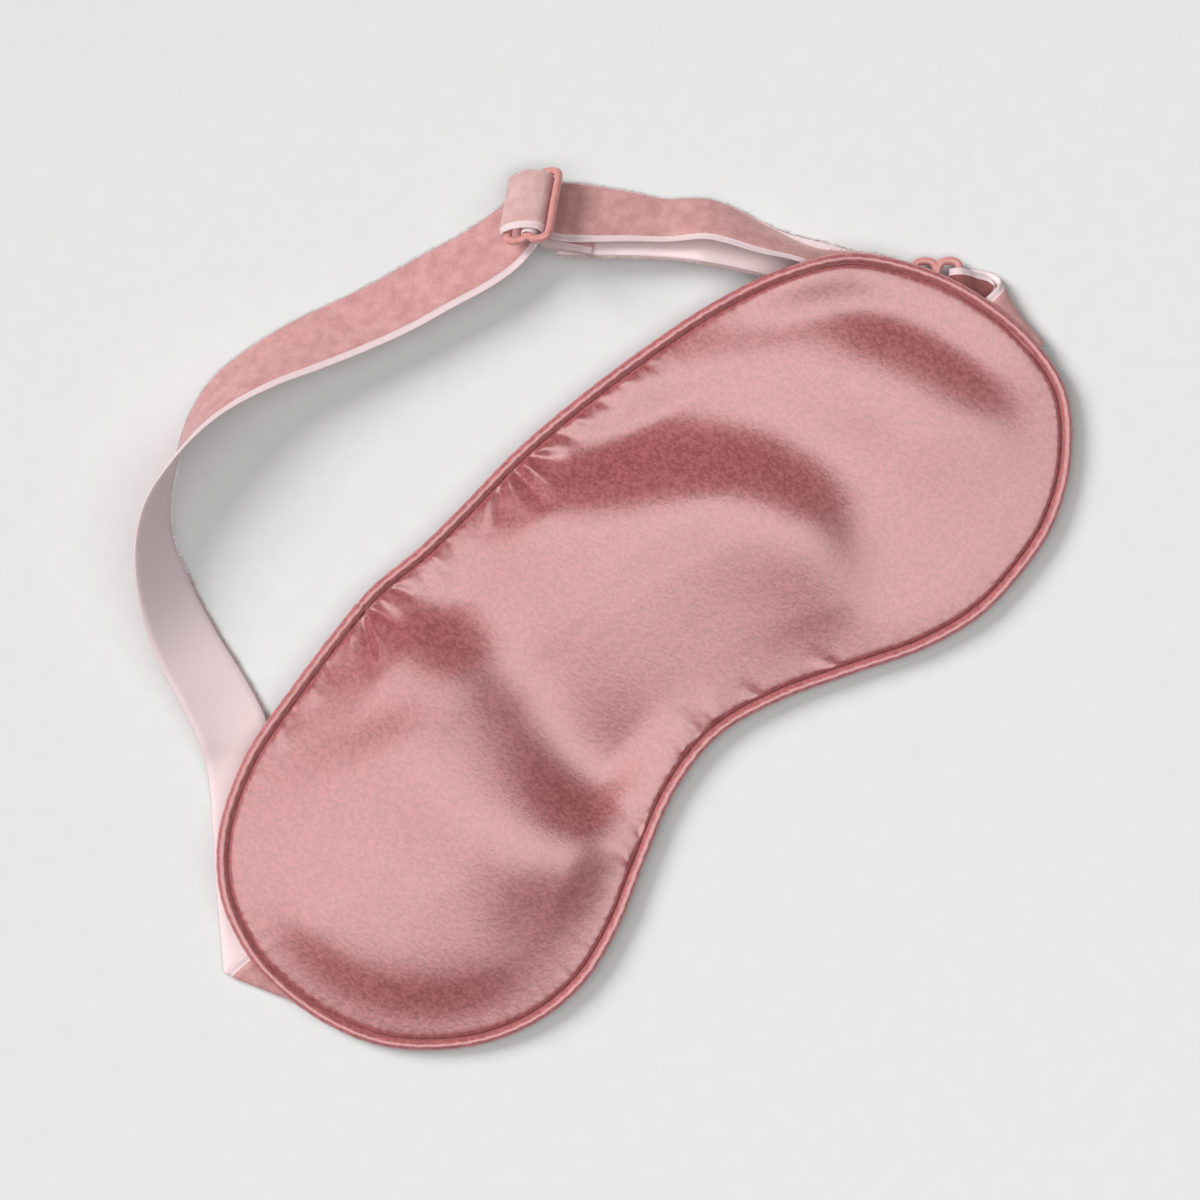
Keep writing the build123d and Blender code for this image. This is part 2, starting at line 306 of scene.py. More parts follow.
# Long folds of the satin. Each rises towards its path, then falls steeply across it.
LONG_FOLDS = [
    # path, height, half width of the steep fall, reach of the gentle sides
    ([(-2, 60), (5, 49), (12, 40), (21, 32), (34, 23), (44, 12), (50, 0), (49, -12), (43, -26),
      (36, -40)], 3.7, 7, 22),
    ([(-40, 60), (-36, 47), (-33, 36), (-31, 22), (-31, 10), (-33, -2), (-34, -14), (-32, -28),
      (-28, -42), (-25, -60)], 3.8, 7.5, 22),
    ([(-42, 24), (-45, 10), (-45, -6), (-41, -20), (-38, -34)], 3.2, 12, 22),
    ([(44, 52), (60, 41), (72, 31), (82, 21), (89, 9), (93, -4), (95, -16), (95, -34)], 2.5, 7, 18),
    ([(-104, 14), (-106, 2), (-103, -12), (-96, -24), (-86, -34), (-74, -40), (-60, -42)],
     -1.9, 9, 22),
    ([(20, 48), (34, 44), (52, 41), (68, 36.5), (84, 28)], -0.6, 5, 12),
]

# Short folds that run in from the seam: start, end, width, height (negative is a valley).
SHORT_FOLDS = [
    ((-40.5, 46.0), (-49, 32), 1.2, -0.9), ((-39.5, 46.0), (-36, 35), 1.2, -0.8),
    ((-41.5, 45.5), (-43, 34), 1.0, 0.6), ((-37, 46.0), (-33, 38), 1.2, 0.3),
    ((-33, 46), (-29, 38), 1.4, -0.6), ((-44.5, 44.8), (-51, 38), 1.2, 0.35),
    ((3, 47), (0, 37), 1.2, 0.6), ((5, 47), (5, 34), 1.2, -0.9),
    ((7, 47), (10, 35), 1.1, 0.8), ((9, 47), (15, 39), 1.2, -0.5),
    ((1, 47), (-6, 39), 1.3, -0.6), ((-2, 46.5), (-9, 40), 1.4, 0.5),
    ((11, 47), (18, 41), 1.5, 0.5), ((-16, 45.5), (-18, 38), 1.4, -0.35),
    ((-21, 45.5), (-21, 37), 1.6, 0.4), ((-25, 45.5), (-27, 39), 1.3, -0.35),
    ((17, 46.5), (21, 40), 1.3, -0.4), ((22, 46.3), (27, 40), 1.5, 0.35),
    ((28, 46), (32, 40), 1.4, -0.3), ((36, 45.2), (39, 40), 1.5, 0.3),
    ((42, 44.7), (44, 39.5), 1.4, -0.25), ((-54, 43), (-56, 37), 1.5, -0.3),
    ((-60, 42), (-62, 36), 1.6, 0.35), ((-66, 40.7), (-69, 35), 1.5, -0.3),
    ((-71, 39.5), (-75, 34), 1.6, 0.3), ((-9, -26.5), (-7, -20), 1.5, 0.35),
    ((-4, -26), (-3, -18), 1.4, -0.35), ((1, -26), (2, -19), 1.5, 0.3),
    ((12, -28.5), (10, -22), 1.5, -0.3), ((29, -35), (26, -27), 1.6, -0.35),
    ((-28, -34), (-25, -24), 2.2, -0.5), ((-34, -37), (-33, -28), 2.0, 0.4),
]


def fold_profile(off, height, steep, gentle):
    """Height across a long fold: a ridge on the path's right falls steeply to a trough on its
    left, and both fade out gently."""
    return -height * np.tanh(off / steep) * np.exp(-(off / gentle) ** 2)


def seam_base(xy, gap, index):
    """Seam height carried inwards: the sag everywhere, the rim's own bumps only near it."""
    sag = droop(xy[:, 1])
    bumps = rim_z[index] + droop(rim[index, 1]) - SEAM_Z
    return SEAM_Z - sag + bumps * (1 - smoothstep(0, 22, gap))


FIELD_X, FIELD_Y = np.arange(-118, 119.0), np.arange(-56, 57.0)
BLUR_REACH, BLUR_WIDTH = 9, 3.0


def long_fold_field():
    """Height of the long folds over a 1 mm field, softened where two sides of a bend meet."""
    x, y = np.meshgrid(FIELD_X, FIELD_Y)
    xy = np.column_stack([x.ravel(), y.ravel()])
    field = np.zeros(len(xy))
    for path, height, steep, gentle in LONG_FOLDS:
        fine = smooth_curve(path, 60)
        gap, along, side = nearest_on_path(xy, fine)
        ends = smoothstep(0, 0.15, along) * (1 - smoothstep(0.7, 1, along))
        field += fold_profile(gap * side, height, steep, gentle) * ends
    field = np.pad(field.reshape(x.shape), BLUR_REACH, mode="edge")
    blur = np.exp(-(np.arange(-BLUR_REACH, BLUR_REACH + 1) / BLUR_WIDTH) ** 2 / 2)
    for axis in (0, 1):
        field = np.apply_along_axis(np.convolve, axis, field, blur / blur.sum(), "valid")
    return field


def read_field(field, xy):
    """Value of the field at each plan point."""
    place = np.clip(xy - (FIELD_X[0], FIELD_Y[0]), 0, (len(FIELD_X) - 1.001, len(FIELD_Y) - 1.001))
    cell = place.astype(int)
    fx, fy = (place - cell).T
    c, r = cell.T
    low = field[r, c] * (1 - fx) + field[r, c + 1] * fx
    high = field[r + 1, c] * (1 - fx) + field[r + 1, c + 1] * fx
    return low * (1 - fy) + high * fy


LONG_FIELD = long_fold_field()


def front_height(xy, gap, index):
    """Height of the front panel over each plan point."""
    base = seam_base(xy, gap, index)
    share = np.clip(gap / 34, 0, 1)
    z = base - DITCH + (DITCH + SHOULDER) * (1 - np.exp(-np.maximum(gap, 0) / 0.3))
    z += (CROWN_Z - SHOULDER - 0.8 * droop(xy[:, 1]) - base) * (1 - (1 - share) ** 1.4)
    z += read_field(LONG_FIELD, xy) * smoothstep(1, 14, gap)
    for start, end, width, height in SHORT_FOLDS:
        off, along, _ = nearest_on_path(xy, [start, end])
        wide = width * (0.55 + 0.8 * along)
        fade = (1 - along) ** 0.9
        z += 1.6 * height * np.exp(-(off / wide) ** 2) * fade * smoothstep(0.2, 1.5, gap)
    # The needle pulls the cloth down at every stitch, which leaves a scalloped ditch.
    stitch = 0.5 + 0.5 * np.cos(2 * np.pi * index / RIM_COUNT * round(rim_length / 2.6))
    z += 0.09 * (stitch - 0.5) * np.exp(-((gap - 0.9) / 0.9) ** 2)
    ripple = wave_noise(index / RIM_COUNT, 8, waves=9, lo=60, hi=150)
    z += 0.13 * ripple * np.exp(-gap / 3.5) * smoothstep(0.2, 1.4, gap)
    return z


# What lies under the mask and lifts its back: path, half width and height.
BUNDLES = [
    # the band from the left tip
    ([(-118, -12), (-108, 5), (-96, 22), (-86, 36), (-80, 46)], 9.5, 1.9),
    # both runs of the band, the connecting buckle and the short loop
    ([(74, 53), (82, 42), (86, 34), (89, 26), (92, 19), (98, 12), (104, 7), (112, 0)], 10.5, 5.6),
]


def back_height(xy, gap, index):
    """Height of the back panel: flat on the table, lifted over the folded band and the buckle."""
    base = seam_base(xy, gap, index)
    z = (base - 1.25) * (1 - smoothstep(-1, 19, gap))
    for bundle, half, lift in BUNDLES:
        off, _, _ = nearest_on_path(xy, smooth_curve(bundle, 40))
        over = np.minimum(lift * (1 - smoothstep(half, half + 7, off)), base - 1.25)
        z = np.maximum(z, over)
    return z + 0.02


def pad_skin(plan, height, rise=0.0):
    """Points of one layer of the pad, raised or lowered from the height given over the plan."""
    gap, index = seam_gap(plan)
    return np.column_stack([plan, height(plan, gap, index) + rise])


# ---- materials ---------------------------------------------------------------------
def new_material(name):
    mat = bpy.data.materials.new(name)
    mat.use_nodes = True
    return mat, mat.node_tree.nodes, mat.node_tree.links, mat.node_tree.nodes["Principled BSDF"]


def set_inputs(skin, **values):
    """Constant shader values; an underscore in a name stands for a space."""
    for key, value in values.items():
        skin.inputs[key.replace("_", " ")].default_value = value


def add_node(nodes, kind, **values):
    """A shader node with its properties and, under other names, its input values set."""
    node = nodes.new(kind)
    for key, value in values.items():
        if key in node.inputs:
            node.inputs[key].default_value = value
        else:
            setattr(node, key, value)
    return node


def add_noise(nodes, links, where, **values):
    noise = add_node(nodes, "ShaderNodeTexNoise", **values)
    links.new(where, noise.inputs["Vector"])
    return noise.outputs["Fac"]


def mixed(nodes, links, a, b, share_of_b):
    mix = add_node(nodes, "ShaderNodeMix", data_type="FLOAT", Factor=share_of_b)
    links.new(a, mix.inputs["A"])
    links.new(b, mix.inputs["B"])
    return mix.outputs["Result"]


def colour_ramp(nodes, stops):
    ramp = nodes.new("ShaderNodeValToRGB")
    while len(ramp.color_ramp.elements) < len(stops):
        ramp.color_ramp.elements.new(0.5)
    for element, (place, colour) in zip(ramp.color_ramp.elements, stops):
        element.position = place
        element.color = (*colour, 1)
    return ramp


def paint(nodes, links, skin, source, stops):
    """Colour the surface by source, through a ramp."""
    ramp = colour_ramp(nodes, stops)
    links.new(source, ramp.inputs["Fac"])
    links.new(ramp.outputs["Color"], skin.inputs["Base Color"])


def emboss(nodes, links, skin, source, strength, distance):
    bump = add_node(nodes, "ShaderNodeBump", Strength=strength, Distance=distance)
    links.new(source, bump.inputs["Height"])
    links.new(bump.outputs["Normal"], skin.inputs["Normal"])


def vary_roughness(nodes, links, skin, source, low, high):
    rough = nodes.new("ShaderNodeMapRange")
    rough.inputs["To Min"].default_value = low
    rough.inputs["To Max"].default_value = high
    links.new(source, rough.inputs["Value"])
    links.new(rough.outputs["Result"], skin.inputs["Roughness"])


def satin(name, dark, light, roughness, anisotropy, grain=1.0):
    """Satin weave: long floats give a soft directional gloss and a fine sparkling grain."""
    mat, nodes, links, skin = new_material(name)
    place = nodes.new("ShaderNodeTexCoord").outputs["Object"]
    stretch = add_node(nodes, "ShaderNodeMapping", Rotation=(0, 0, 0.6), Scale=(1.0, 0.7, 1.0))
    links.new(place, stretch.inputs["Vector"])
    fine = add_noise(nodes, links, stretch.outputs["Vector"], Scale=1250.0, Detail=2.5,
                     Roughness=0.7)
    coarse = add_noise(nodes, links, place, Scale=420.0, Detail=3.0, Roughness=0.65)
    both = mixed(nodes, links, fine, coarse, 0.25)
    paint(nodes, links, skin, both, [(0.42, dark), (0.58, light)])
    vary_roughness(nodes, links, skin, both, roughness - 0.05, roughness + 0.07)
    emboss(nodes, links, skin, both, 0.38 * grain, 0.00018)
    set_inputs(skin, IOR=2.9, Specular_Tint=(1.0, 0.80, 0.79, 1), Anisotropic=anisotropy,
               Sheen_Weight=0.08, Sheen_Roughness=0.5, Sheen_Tint=(1.0, 0.82, 0.80, 1))
    return mat


def velvet(name, dark, light):
    """Short cut pile: dark straight down into it, pale at a glancing angle, crushed in patches."""
    mat, nodes, links, skin = new_material(name)
    place = nodes.new("ShaderNodeTexCoord").outputs["Object"]
    pile = add_noise(nodes, links, place, Scale=3000.0, Detail=2.0)
    patch = add_noise(nodes, links, place, Scale=320.0, Detail=3.0, Roughness=0.55)
    paint(nodes, links, skin, mixed(nodes, links, pile, patch, 0.6), [(0.38, dark), (0.64, light)])
    emboss(nodes, links, skin, pile, 0.55, 0.0002)
    set_inputs(skin, Roughness=0.85, Sheen_Weight=0.9, Sheen_Roughness=0.35,
               Sheen_Tint=(1.0, 0.80, 0.78, 1), Specular_IOR_Level=0.2)
    return mat


def woven(name, dark, light, pitch):
    """Plain woven elastic: fine ribs across the band and along it."""
    mat, nodes, links, skin = new_material(name)
    place = nodes.new("ShaderNodeUVMap").outputs["UV"]
    cross = add_node(nodes, "ShaderNodeMath", operation="MULTIPLY")
    for slot, (direction, scale) in enumerate((("X", 1 / pitch), ("Y", 0.7 / pitch))):
        ribs = add_node(nodes, "ShaderNodeTexWave", bands_direction=direction, Scale=scale,
                        Distortion=0.4)
        links.new(place, ribs.inputs["Vector"])
        links.new(ribs.outputs["Fac"], cross.inputs[slot])
    fleck = add_node(nodes, "ShaderNodeTexNoise", Scale=900.0, Detail=3.0).outputs["Fac"]
    weave = mixed(nodes, links, cross.outputs["Value"], fleck, 0.5)
    paint(nodes, links, skin, weave, [(0.15, dark), (0.7, light)])
    emboss(nodes, links, skin, weave, 0.35, 0.00015)
    set_inputs(skin, Roughness=0.75, Sheen_Weight=0.25)
    return mat


def moulded(name, colour):
    """Glossy moulded plastic with a faint flow mottle."""
    mat, nodes, links, skin = new_material(name)
    place = nodes.new("ShaderNodeTexCoord").outputs["Object"]
    flow = add_noise(nodes, links, place, Scale=500.0, Detail=2.0)
    pale = tuple(min(1, c * 1.15) for c in colour)
    paint(nodes, links, skin, flow, [(0.3, colour), (0.75, pale)])
    vary_roughness(nodes, links, skin, flow, 0.14, 0.26)
    set_inputs(skin, Coat_Weight=0.6, Coat_Roughness=0.08, Subsurface_Weight=0.15,
               Subsurface_Radius=(0.001, 0.0005, 0.0004))
    return mat


def fluff(name, colour, scale):
    """Matt fibrous filling or lining."""
    mat, nodes, links, skin = new_material(name)
    place = nodes.new("ShaderNodeTexCoord").outputs["Object"]
    fibre = add_noise(nodes, links, place, Scale=scale, Detail=4.0, Distortion=1.5)
    paint(nodes, links, skin, fibre, [(0.3, tuple(c * 0.8 for c in colour)), (0.7, colour)])
    emboss(nodes, links, skin, fibre, 0.5, 0.0004)
    set_inputs(skin, Roughness=0.95)
    return mat


SATIN = satin("satin", (0.29, 0.066, 0.070), (0.43, 0.120, 0.125), 0.345, 0.15)
PIPING_SATIN = satin("piping_satin", (0.36, 0.095, 0.100), (0.52, 0.155, 0.160), 0.38, 0.2, 1.4)
VELVET = velvet("velvet_pile", (0.46, 0.225, 0.22), (0.60, 0.325, 0.315))
SELVEDGE = woven("band_selvedge", (0.62, 0.46, 0.47), (0.82, 0.68, 0.69), 0.00035)
BAND_BACK = woven("band_back", (0.78, 0.61, 0.62), (0.92, 0.77, 0.78), 0.0004)
# Paler velvet for the hump over the slider: stretched pile, and painted sheen where the pile bends
# to a glancing angle.
VELVET_STRETCHED_AND_SHEEN = velvet("velvet_stretched_painted_sheen", (0.50, 0.30, 0.29), (0.63, 0.40, 0.39))
FUZZ = velvet("velvet_fuzz", (0.66, 0.44, 0.43), (0.86, 0.66, 0.65))
# Velvet painted much darker: painted shade for the inside of the short loop, which lies in shadow
# under the mask's rim.
VELVET_PAINTED_SHADE = velvet("velvet_shaded_side", (0.20, 0.065, 0.065), (0.30, 0.11, 0.105))
PLASTIC = moulded("buckle_plastic", (0.56, 0.245, 0.225))
THREAD = woven("sewing_thread", (0.60, 0.33, 0.32), (0.80, 0.52, 0.50), 0.0002)
WADDING = fluff("wadding_fibre", (0.85, 0.84, 0.81), 700.0)
LINING = fluff("blackout_cloth", (0.05, 0.045, 0.05), 2500.0)
CORD = fluff("cotton_cord", (0.82, 0.79, 0.74), 1500.0)


def finish_piece(obj, body=None, nodes=(), materials=(), blend=False):
    """Give a piece its materials and the body it rides on, or with blend bake its place into its
    mesh, and hide its nodes.
    """
    for mat in materials:
        obj.data.materials.append(mat)
    if blend:
        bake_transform(obj)
    else:
        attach(obj, body)
    if nodes:
        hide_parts(*nodes)


# ---- padded mask -------------------------------------------------------------------
def both_halves(node):
    return (f"{node}_right", f"{node}_left")


def turned(faces):
    return [f[::-1] for f in faces]


# How far inside the mask's edge each layer of the pad ends.
SKIN_INSET, LINING_INSET, WADDING_INSET = 1.9, 2.8, 4.6

# The faces of a net look down; the front takes them turned over.
plan, faces, _ = pad_net(SKIN_INSET, every=1, net=1.1, rings=(9, 0.22, 1.09, 1.0))
front_panel = make_mesh("front_panel", pad_skin(plan, front_height), turned(faces), plan)
finish_piece(front_panel, nodes=both_halves("front_panel"), materials=[SATIN], blend=True)

plan, faces, _ = pad_net(SKIN_INSET, every=2, net=1.7, rings=(11, 0.8, 1.1, 1.5))
back_panel = make_mesh("back_panel", pad_skin(plan, back_height), faces, plan)
finish_piece(back_panel, nodes=both_halves("back_panel"), materials=[SATIN], blend=True)

plan, faces, cols = pad_net(WADDING_INSET, every=4, net=3.0, rings=(10, 1.5, 1.1, 2.5))
top = pad_skin(plan, front_height, -1.3)
under = pad_skin(plan, back_height, 0.75)
under[:, 2] = np.minimum(under[:, 2], top[:, 2] - 0.05)
count = len(top)
hem = [(c, (c + 1) % cols, (c + 1) % cols + count, c + count) for c in range(cols)]
faces = turned(faces) + [tuple(i + count for i in f) for f in faces] + turned(hem)
wadding = make_mesh("wadding", np.vstack([top, under]), faces, np.vstack([plan, plan]))
finish_piece(wadding, nodes=both_halves("wadding"), materials=[WADDING], blend=True)

plan, faces, _ = pad_net(LINING_INSET, every=4, net=3.0, rings=(10, 1.5, 1.1, 2.5))
ceiling = pad_skin(plan, front_height, -0.35)
sheet = pad_skin(plan, back_height, 0.35)
sheet[:, 2] = np.minimum(sheet[:, 2], ceiling[:, 2])
lining = make_mesh("blackout_lining", sheet, faces, plan)
finish_piece(lining, nodes=both_halves("blackout_lining"), materials=[LINING], blend=True)

# Piping: bias satin over a cord, wrinkled across, with its ends butted on the brow.
pipe_path = np.column_stack([rim + rim_inward * PIPING_R, rim_z])
sides = 24
turn = np.arange(sides) / sides * 2 * np.pi
sway = 2.5 * wave_noise(rim_along, 4)[:, None]
bias = np.sin(2 * np.pi * rim_along[:, None] * 150 + turn[None] * 2 + sway)
crease = wave_noise(rim_along, 12, waves=8, lo=30, hi=110)[:, None]
butt = np.linalg.norm(rim - PIPING_BUTT, axis=1)
butt_side = np.sign(PIPING_BUTT[0] - rim[:, 0])
lap = np.where(butt_side > 0, 0.12, -0.03) * np.exp(-(butt / 2.5) ** 2)
ditch = -0.22 * np.exp(-(butt / 0.35) ** 2)
pipe_r = PIPING_R * (1 + 0.03 * bias + 0.045 * crease + (lap + ditch)[:, None])
piping = tube("piping_cover", pipe_path, pipe_r, sides)
finish_piece(piping, nodes=both_halves("piping_cover"), materials=[PIPING_SATIN],
             blend=True)
core = tube("piping_cord", pipe_path[::2], 0.7, 10)
finish_piece(core, nodes=both_halves("piping_cord"), materials=[CORD], blend=True)


# ---- headband ------------------------------------------------------------------------
def band_section(thick):
    """Points round the band's cut face as (across, up, face kind), from the fuzzy edge.

    Kinds are 0 pile, 1 woven selvedge, 2 plain back. Across runs towards the selvedge."""
    half = STRAP_W / 2
    pile = thick * 0.55
    points = []
    for a in np.linspace(-half + 0.3, half - SELVEDGE_W, 12):
        points.append((a, pile, 0))
    points.append((half - SELVEDGE_W + 0.12, pile * 0.62, 1))
    for a in np.linspace(half - SELVEDGE_W + 0.35, half - 0.25, 4):
        points.append((a, pile * 0.48, 1))
    points.append((half, 0.0, 1))
    points.append((half - 0.25, -pile * 0.6, 1))
    points.append((half - SELVEDGE_W, -pile * 0.8, 2))
    for a in np.linspace(half - SELVEDGE_W - 1, -half + 0.3, 9):
        points.append((a, -pile * 0.8, 2))
    points.append((-half, -pile * 0.35, 0))
    points.append((-half - 0.1, pile * 0.45, 0))
    return points


# Which of those points is the tip of the fuzzy edge and which is beside it, then the selvedge's.
EDGE_POINTS = {0: (-1, 0), 1: (17, 15)}


def band_rows(centre, width_dir, width, thick=STRAP_T, curl=None, pile_side=1, square=True):
    """Rows of points of a band whose pile is on the side of width x tangent, or on the other."""
    count = len(centre)
    tangent = unit(np.gradient(centre, axis=0))
    slant = (width_dir * tangent).sum(1, keepdims=True) if square else 0.0
    across = unit(width_dir - slant * tangent)
    pile_up = unit(np.cross(across, tangent)) * pile_side
    width = np.ones(count) * width
    section = band_section(thick)
    curl = np.zeros(count) if curl is None else np.radians(curl)
    bent = np.abs(curl) > 1e-3
    safe = np.where(bent, curl, 1.0)
    rows = np.zeros((count, len(section), 3))
    for k, (a, up, _) in enumerate(section):
        # The section bends into an arc of curl degrees over its whole width.
        turn = curl * a / STRAP_W
        reach = a * width / STRAP_W
        side = np.where(bent, np.sin(turn) * width / safe, reach) + up * np.sin(turn)
        rise = np.where(bent, (np.cos(turn) - 1) * width / safe, 0) + up * np.cos(turn)
        rows[:, k] = centre + across * side[:, None] + pile_up * rise[:, None]
    return rows, section


def fix_normals(obj):
    bm = bmesh.new()
    bm.from_mesh(obj.data)
    bmesh.ops.recalc_face_normals(bm, faces=bm.faces[:])
    bm.to_mesh(obj.data)
    bm.free()


def band_object(name, rows, section, pile=None):
    count, around = rows.shape[:2]
    faces = grid_faces(count, around)
    kinds = [max(section[c][2], section[(c + 1) % around][2]) for c in range(around)]
    faces.append(tuple(range(around)))
    faces.append(tuple(reversed(range((count - 1) * around, count * around))))
    length = np.concatenate([[0], np.cumsum(np.linalg.norm(np.diff(rows.mean(1), axis=0), axis=1))])
    uv = np.stack([np.repeat(length, around), np.tile([s[0] for s in section], count)], 1)
    obj = make_mesh(name, rows.reshape(-1, 3), faces, uv, kinds * (count - 1) + [2, 2])
    for mat in (pile or VELVET, SELVEDGE, BAND_BACK):
        obj.data.materials.append(mat)
    fix_normals(obj)
    return obj


def station_path(stations, count):
    """Smooth centre line, width directions, curl and width through stations of the band.

    A station is x, y, z, tilt of the width from level left, curl in degrees, and width. Without
    the last two the band is flat and full width. Angles and width are scaled down meanwhile,
    so that x, y and z set the spacing."""
    scale = 0.02
    pts = np.array([tuple(s) + (0, STRAP_W)[len(s) - 4:] for s in stations], float)
    pts[:, 3:] *= scale
    path = smooth_curve(pts, count)
    centre = path[:, :3]
    tangent = unit(np.gradient(centre, axis=0))
    flat = unit(tangent * (1, 1, 0))
    level = np.stack([-flat[:, 1], flat[:, 0], np.zeros(count)], 1)
    tilt = np.radians(path[:, 3] / scale)
    width = level * np.cos(tilt)[:, None] + np.array((0, 0, 1)) * np.sin(tilt)[:, None]
    return centre, width, path[:, 4] / scale, path[:, 5] / scale


def fringe(name, rows, per_mm, length, seed, edges=(0,), skip=0, under=None):
    """Loose pile fibres along the band's cut edge: 0 is the fuzzy edge, 1 the selvedge.

    Where something lies on the band, under is the way up that the fibres must not rise."""
    rng = np.random.default_rng(seed)
    verts, faces = [], []
    for side in edges:
        line, beside = (rows[:, point] for point in EDGE_POINTS[side])
        steps = np.concatenate([[0], np.cumsum(np.linalg.norm(np.diff(line, axis=0), axis=1))])
        for _ in range(int(steps[-1] * per_mm)):
            s = rng.uniform(skip, steps[-1])
            root = np.array([np.interp(s, steps, line[:, k]) for k in range(3)])
            near = np.array([np.interp(s, steps, beside[:, k]) for k in range(3)])
            ahead = np.array([np.interp(s + 0.5, steps, line[:, k]) for k in range(3)]) - root
            out = unit(unit(root - near) + rng.normal(0, 0.45, 3)
                       + unit(ahead) * rng.uniform(-0.2, 0.9))
            if under is not None:
                out = out - (max(out @ under, 0) + 0.1) * under
            tip = root + out * length * rng.uniform(0.35, 1.2)
            tip[2] = max(tip[2], 0.05)
            a = unit(np.cross(out, (0.3, 0.2, 1.0))) * 0.08
            b = unit(np.cross(out, a)) * 0.08
            first = len(verts)
            verts += [root - 0.15 * out + a, root - 0.15 * out - a * 0.5 + b,
                      root - 0.15 * out - a * 0.5 - b, tip]
            faces += [(first, first + 1, first + 3), (first + 1, first + 2, first + 3),
                      (first + 2, first, first + 3), (first + 2, first + 1, first)]
    obj = make_mesh(name, np.array(verts), faces)
    obj.data.materials.append(FUZZ)
    return obj


# The straight stretch of band at the slider: its direction, the way up from it, the way to its
# selvedge, and where it starts.
RUN_ALONG = np.array((0.625, -0.7806, 0.0))
RUN_NORMAL = np.array((0.390, 0.313, 0.866))
RUN_P = np.array((-0.675, -0.541, 0.5))
RUN_START = np.array((46.5, 87.0, 5.4))


def on_run(along, level=0.0, towards_p=0.0):
    """Point by the straight stretch: along it, up from it, and towards the selvedge side."""
    return tuple(RUN_START + along * RUN_ALONG + level * RUN_NORMAL + towards_p * RUN_P)


LOW = 0.72                    # height of the band's centre where it lies on the table

# Stations of the band from the left tip over the slider to the connecting buckle.
LEFT_AND_UPPER = [
    (-106.4, 8.15, LOW, 0), (-103.4, 12.1, LOW, 0), (-100.5, 15.9, LOW, 0), (-96.5, 21, LOW, 0),
    (-91, 28, LOW, 0), (-87, 33, LOW, 0), (-83.4, 38.4, 1.2, 4), (-80.5, 44, 2.4, 11),
    (-77.6, 54, 3.6, 20), (-75.2, 65, 4.7, 28), (-71.4, 76, 6.2, 43), (-66, 85.8, 7.8, 60),
    (-58.9, 92.7, 8.5, 74), (-50, 97.2, 8.7, 90), (-40, 100.5, 8.3, 109), (-30, 101.3, 7.4, 124),
    (-20, 99.7, 6.8, 133), (-10, 96.8, 6.0, 142), (0, 93.5, 5.3, 146), (10, 90.5, 5.0, 149),
    (20, 88.2, 5.1, 150), (30, 85.9, 5.0, 150), (36, 85.2, 4.8, 150, 0, 15.6),
    (41, 85.3, 4.8, 149, 0, 14.4), (45.2, 85.6, 4.9, 149, 0, 13),
    (*on_run(4, 0, 0.6), 150, 0, 14.5), (*on_run(8, 0, 0.2), 150, 0, 15.4),
    (*on_run(14, 0, -0.5), 150, 0, 14.8),
    (*on_run(22, 0, -1.4), 149, 0, 13.2), (*on_run(30, 0, -2.0), 146, 4, 11.8),
    (74.2, 58.2, 5.9, 138, 12, 12.2), (80.4, 47.3, 5.8, 125, 20, 12),
    (85.4, 37.6, 5.1, 121, 20, 8.6), (88.0, 31.0, 4.6, 146, 10, 11), (90.6, 24.5, 4.1, 170, 0, 14),
    (92.9, 19.5, 3.95, 178, 0, 14.8), (95.98, 14.27, 3.85, 180, 0, 14.8),
]


def sewn_end_rows():
    """The band leaves the left seam, pile up, and turns under itself along a slanting fold."""
    fold_at = np.array((-112.97, -1.34))
    fold_n = np.array((0.895, 0.446))
    radius = 0.66
    section = band_section(STRAP_T)
    xs = np.linspace(-104.6, -126.2, 110)
    rows = np.zeros((len(xs), len(section), 3))
    for k, (a, up, _) in enumerate(section):
        plan = np.stack([xs, np.full(len(xs), -1.8 + a)], 1)
        beyond = -(plan - fold_at) @ fold_n
        foot = plan + beyond[:, None] * fold_n
        angle = np.clip(beyond / radius, 0, np.pi)
        rest = np.maximum(beyond - np.pi * radius, 0)
        move = np.where(beyond > 0, rest - (radius + up) * np.sin(angle), -beyond)
        rows[:, k, :2] = foot + move[:, None] * fold_n
        rows[:, k, 2] = LOW + radius + (radius + up) * np.cos(angle)
        rows[:, k, 2] += 1.7 * smoothstep(0.3, 6, -beyond)
    return rows


centre, width_dir, curl, width = station_path(LEFT_AND_UPPER, 640)
share = np.linspace(0, 1, 640)
centre[:, 2] += 0.10 * wave_noise(share, 21, waves=7, lo=3, hi=18) * smoothstep(0.2, 0.3, share)
curl = curl + 7 * wave_noise(share, 22, waves=6, lo=2, hi=12) * smoothstep(0.2, 0.3, share)
upper_rows, section = band_rows(centre, width_dir, width, curl=curl)
sewn_rows = sewn_end_rows()
band = band_object("headband", np.vstack([sewn_rows, upper_rows]), section)
finish_piece(band, nodes=("strap_left", "strap_right"), blend=True)
band_fuzz = fringe("headband_fuzz", np.vstack([sewn_rows[::4], upper_rows]), 9, 1.1, seed=5)
finish_piece(band_fuzz, blend=True)

